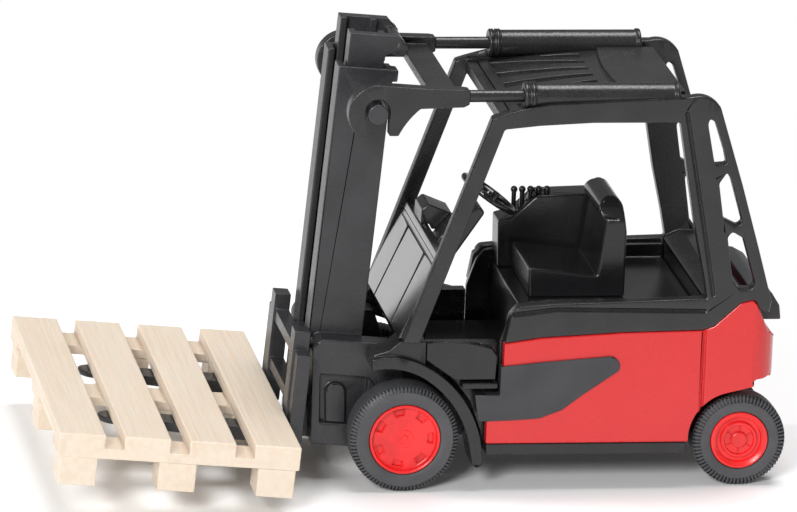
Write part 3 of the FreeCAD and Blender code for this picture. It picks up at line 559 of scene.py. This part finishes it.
def pick_clock(piece, where, side, foot, head, slices, wanted):
    """Selects the wanted slices out of each CLOCK_SLICES, between two shares of the rim's radius."""
    x, z = axle_centre(where)
    radius = rim_radius("%s_%s_rim" % (where, side))

    def on_clock(face):
        centre = face.calc_center_median()
        reach = reach_from(centre, x, z) / radius
        return foot < reach < head and slice_at(centre, x, z, slices) % CLOCK_SLICES in wanted

    pick_faces(piece, on_clock)


def front_rim(side, windows):
    """A dished disc with a thin lip, pressed windows with raised frames and a small hub."""
    lip = [(1.0, 0.5), (0.985, 0.58), (0.955, 0.6), (0.925, 0.55), (0.90, 0.18), (0.89, 0.05)]
    disc = [(WINDOW_HEAD, 0.0), (WINDOW_FOOT, 0.02), (0.42, 0.05)]
    hub = [(0.26, 0.08), (0.24, 0.14), (0.17, 0.14), (0.155, 0.09), (0.10, 0.09)]
    cap = [(0.085, 0.19), (0.02, 0.2)]
    slices = windows * CLOCK_SLICES
    piece = rim_disc("front", side, "_pressed", lip + disc + hub + cap, slices)
    pick_clock(piece, "front", side, WINDOW_FOOT, WINDOW_HEAD, slices, WINDOW_SLICES)
    bpy.ops.mesh.inset(thickness=0.06 * MM, depth=0.06 * MM)
    bpy.ops.mesh.inset(thickness=0.05 * MM, depth=0.0)
    bpy.ops.mesh.inset(thickness=0.05 * MM, depth=-0.4 * MM)
    smooth(piece, RIM_SMOOTH_ANGLE)
    settle(piece, "front_%s_rim" % side)


def rear_rim(side):
    """A smaller disc with stepped rings, a deep ring groove and a circle of studs."""
    lip = [(1.0, 0.46), (0.98, 0.56), (0.93, 0.58), (0.84, 0.44), (0.79, 0.3)]
    groove = [(0.77, -0.02), (0.65, -0.04)]
    ring = [(0.63, 0.3), (0.60, 0.38), (0.53, 0.36)]
    stud_seat = [(STUD_HEAD, 0.12), (STUD_FOOT, 0.1)]
    hub = [(0.27, 0.4), (0.24, 0.46), (0.02, 0.48)]
    slices = STUD_COUNT * CLOCK_SLICES
    piece = rim_disc("rear", side, "_stepped", lip + groove + ring + stud_seat + hub, slices)
    pick_clock(piece, "rear", side, STUD_FOOT, STUD_HEAD, slices, STUD_SLICES)
    bpy.ops.mesh.inset(thickness=0.07 * MM, depth=0.0)
    bpy.ops.mesh.inset(thickness=0.05 * MM, depth=0.14 * MM)
    smooth(piece, RIM_SMOOTH_ANGLE)
    settle(piece, "rear_%s_rim" % side)


class FORKLIFT_OT_tyres(bpy.types.Operator):
    """Models the four ribbed tyres"""

    bl_idname = "forklift.tyres"
    bl_label = "Tyres"

    def execute(self, context):
        wheels = context.scene.forklift_wheels
        for side in SIDES:
            tyre("front", side, wheels.front_ribs, wheels.rib_depth, FRONT_RIB_FOOT)
            tyre("rear", side, wheels.rear_ribs, wheels.rib_depth, REAR_RIB_FOOT)
        return {"FINISHED"}


class FORKLIFT_OT_rims(bpy.types.Operator):
    """Models the four wheel rims and finishes the axles"""

    bl_idname = "forklift.rims"
    bl_label = "Rims and axles"

    def execute(self, context):
        for side in SIDES:
            front_rim(side, context.scene.forklift_wheels.window_count)
            rear_rim(side)
        for node in ("front_axle", "rear_axle"):
            rounded(node, context.scene.forklift_edges.fine)
        return {"FINISHED"}


class FORKLIFT_OT_body(bpy.types.Operator):
    """Rounds and finishes the red body, its trim and the base"""

    bl_idname = "forklift.body"
    bl_label = "Body and base"

    def execute(self, context):
        edges = context.scene.forklift_edges
        rounded("body_shell", edges.casting * CRISP)
        rounded("rear_grille", edges.moulding)
        rounded("chassis_base", edges.moulding)
        rounded("base_screws", edges.fine)
        for side in SIDES:
            for node in ("side_trim_", "front_fender_", "step_"):
                rounded(node + side, edges.fine)
        return {"FINISHED"}


class FORKLIFT_OT_guard(bpy.types.Operator):
    """Rounds and finishes the overhead guard, the roof and the tilt cylinders"""

    bl_idname = "forklift.guard"
    bl_label = "Guard and roof"

    def execute(self, context):
        edges = context.scene.forklift_edges
        rounded("overhead_guard", edges.casting * CRISP)
        rounded("roof_panel", edges.fine)
        for side in SIDES:
            rounded("tilt_barrel_" + side, edges.moulding)
        rounded("tilt_link", edges.fine * SOFT)
        return {"FINISHED"}


class FORKLIFT_OT_cab(bpy.types.Operator):
    """Rounds and finishes the floor, the seat and the controls"""

    bl_idname = "forklift.cab"
    bl_label = "Cab"

    def execute(self, context):
        edges = context.scene.forklift_edges
        rounded("cab_tub", edges.moulding)
        rounded("front_cowl", edges.fine)
        rounded("seat", edges.casting, keep_sharp=35, segments=3)
        rounded("armrest_console", edges.casting)
        rounded("control_levers", edges.fine)
        rounded("instrument_hood", edges.moulding)
        rounded("steering_column", edges.casting)
        rounded("steering_wheel", edges.fine)
        return {"FINISHED"}


class FORKLIFT_OT_mast(bpy.types.Operator):
    """Rounds and finishes the mast, the carriage and the forks"""

    bl_idname = "forklift.mast"
    bl_label = "Mast and carriage"

    def execute(self, context):
        edges = context.scene.forklift_edges
        rounded("outer_mast", edges.moulding)
        rounded("inner_mast", edges.fine)
        rounded("fork_carriage", edges.fine)
        return {"FINISHED"}


class FORKLIFT_OT_pallet(bpy.types.Operator):
    """Rounds and finishes the pallet"""

    bl_idname = "forklift.pallet"
    bl_label = "Pallet"

    def execute(self, context):
        rounded("pallet", context.scene.forklift_edges.moulding, segments=3)
        return {"FINISHED"}


# ---- stage ----
def seen_directly(nodes, links):
    """1 for what the camera sees, straight on, in a reflection or through glass."""
    rays = nodes.new("ShaderNodeLightPath")
    seen = rays.outputs["Is Camera Ray"]
    for kind in ("Is Glossy Ray", "Is Transmission Ray"):
        either = nodes.new("ShaderNodeMath")
        either.operation = "MAXIMUM"
        links.new(seen, either.inputs[0])
        links.new(rays.outputs[kind], either.inputs[1])
        seen = either.outputs[0]
    return seen


def add_lamp(name, place, size, power):
    """A round lamp that shines at the truck."""
    bpy.ops.object.light_add(type="AREA", location=place)
    lamp = bpy.context.object
    lamp.name = name
    lamp.data.shape = "DISK"
    lamp.data.size = size
    lamp.data.energy = power
    lamp.rotation_euler = (Vector(LAMP_TARGET) - Vector(place)).to_track_quat("-Z", "Y").to_euler()


def floor_share(nodes, links):
    """How far the floor glows white for the camera: little beside the truck, fully beyond it."""
    place = nodes.new("ShaderNodeTexCoord")
    reach = nodes.new("ShaderNodeVectorMath")
    reach.operation = "LENGTH"
    fade = nodes.new("ShaderNodeMapRange")
    fade.inputs["From Min"].default_value = FADE_START
    fade.inputs["From Max"].default_value = FADE_END
    fade.inputs["To Min"].default_value = LEAST_GLOW
    fade.inputs["To Max"].default_value = 1.0
    share = nodes.new("ShaderNodeMath")
    share.operation = "MULTIPLY"
    links.new(place.outputs["Object"], reach.inputs[0])
    links.new(reach.outputs["Value"], fade.inputs["Value"])
    links.new(seen_directly(nodes, links), share.inputs[0])
    links.new(fade.outputs["Result"], share.inputs[1])
    return share.outputs[0]


class FORKLIFT_OT_stage(bpy.types.Operator):
    """Sets up the floor, the soft light and the camera"""

    bl_idname = "forklift.stage"
    bl_label = "Stage"

    def execute(self, context):
        stage = context.scene.forklift_stage
        self.floor()
        self.surroundings(context, stage)
        for name, place, size, power in LAMPS:
            add_lamp(name, place, size, getattr(stage, power))
        self.camera(context, stage)
        context.scene.view_settings.view_transform = "Standard"
        return {"FINISHED"}

    def floor(self):
        """A pale matt floor that fades into the white beyond it."""
        bpy.ops.object.select_all(action="DESELECT")
        bpy.ops.mesh.primitive_circle_add(
            vertices=FLOOR_SIDES, radius=FLOOR_RADIUS, fill_type="NGON", location=(0, 0, 0))
        floor = bpy.context.object
        floor.name = "floor"
        finish, nodes, links, shader = start_finish("floor_white", FLOOR_WHITE, 0.9)
        shader.inputs["Specular IOR Level"].default_value = 0.1
        glow = nodes.new("ShaderNodeEmission")
        glow.inputs["Strength"].default_value = 1.0
        mix = nodes.new("ShaderNodeMixShader")
        links.new(floor_share(nodes, links), mix.inputs[0])
        links.new(shader.outputs[0], mix.inputs[1])
        links.new(glow.outputs[0], mix.inputs[2])
        links.new(mix.outputs[0], nodes["Material Output"].inputs["Surface"])
        floor.data.materials.append(finish)

    def surroundings(self, context, stage):
        """White for the camera and dimmer as a light."""
        world = bpy.data.worlds.new("surroundings")
        context.scene.world = world
        world.use_nodes = True
        nodes = world.node_tree.nodes
        links = world.node_tree.links
        level = nodes.new("ShaderNodeMapRange")
        level.inputs["To Min"].default_value = stage.world_strength
        level.inputs["To Max"].default_value = 1.0
        rays = nodes.new("ShaderNodeLightPath")
        links.new(rays.outputs["Is Camera Ray"], level.inputs["Value"])
        links.new(level.outputs["Result"], nodes["Background"].inputs["Strength"])
        nodes["Background"].inputs["Color"].default_value = (1, 1, 1, 1)

    def camera(self, context, stage):
        """Looks at the truck from its left, a little from above."""
        across = math.cos(stage.elevation)
        back = Vector((
            math.sin(stage.azimuth) * across, math.cos(stage.azimuth) * across, math.sin(stage.elevation)))
        level = Vector((-math.cos(stage.azimuth), math.sin(stage.azimuth), 0))
        upright = back.cross(level)
        right = level * math.cos(stage.roll) + upright * math.sin(stage.roll)
        up = upright * math.cos(stage.roll) - level * math.sin(stage.roll)
        axle_x = axle_centre("front")[0]
        target = Vector((axle_x - AIM_BEHIND_AXLE, 0, AIM_HEIGHT))
        bpy.ops.object.camera_add()
        camera = bpy.context.object
        camera.data.sensor_width = SENSOR_WIDTH
        camera.data.lens = stage.lens
        camera.data.clip_start = CLIP_START
        turn = Matrix((right, up, back)).transposed().to_4x4()
        camera.matrix_world = Matrix.Translation(target + back * stage.distance) @ turn
        context.scene.camera = camera


class FORKLIFT_PT_panel(bpy.types.Panel):
    """Lists the steps in order"""

    bl_label = "Toy forklift"
    bl_idname = "FORKLIFT_PT_panel"
    bl_space_type = "VIEW_3D"
    bl_region_type = "UI"
    bl_category = "Forklift"

    def draw(self, context):
        for group in (context.scene.forklift_finishes, context.scene.forklift_wheels,
                      context.scene.forklift_edges, context.scene.forklift_stage):
            box = self.layout.box()
            for name in group.bl_rna.properties.keys():
                if name not in ("rna_type", "name"):
                    box.prop(group, name)
        for step in STEPS:
            self.layout.operator(step.bl_idname)


GROUPS = {
    "forklift_finishes": ForkliftFinishes,
    "forklift_wheels": ForkliftWheels,
    "forklift_edges": ForkliftEdges,
    "forklift_stage": ForkliftStage,
}
STEPS = (
    FORKLIFT_OT_stage, FORKLIFT_OT_tyres, FORKLIFT_OT_rims, FORKLIFT_OT_body,
    FORKLIFT_OT_guard, FORKLIFT_OT_cab, FORKLIFT_OT_mast, FORKLIFT_OT_pallet)


def register():
    for name, group in GROUPS.items():
        bpy.utils.register_class(group)
        setattr(bpy.types.Scene, name, PointerProperty(type=group))
    for step in STEPS:
        bpy.utils.register_class(step)
    bpy.utils.register_class(FORKLIFT_PT_panel)


def unregister():
    bpy.utils.unregister_class(FORKLIFT_PT_panel)
    for step in reversed(STEPS):
        bpy.utils.unregister_class(step)
    for name, group in GROUPS.items():
        delattr(bpy.types.Scene, name)
        bpy.utils.unregister_class(group)


def main():
    register()
    for step in STEPS:
        area, call = step.bl_idname.split(".")
        getattr(getattr(bpy.ops, area), call)()


if __name__ == "__main__":
    main()
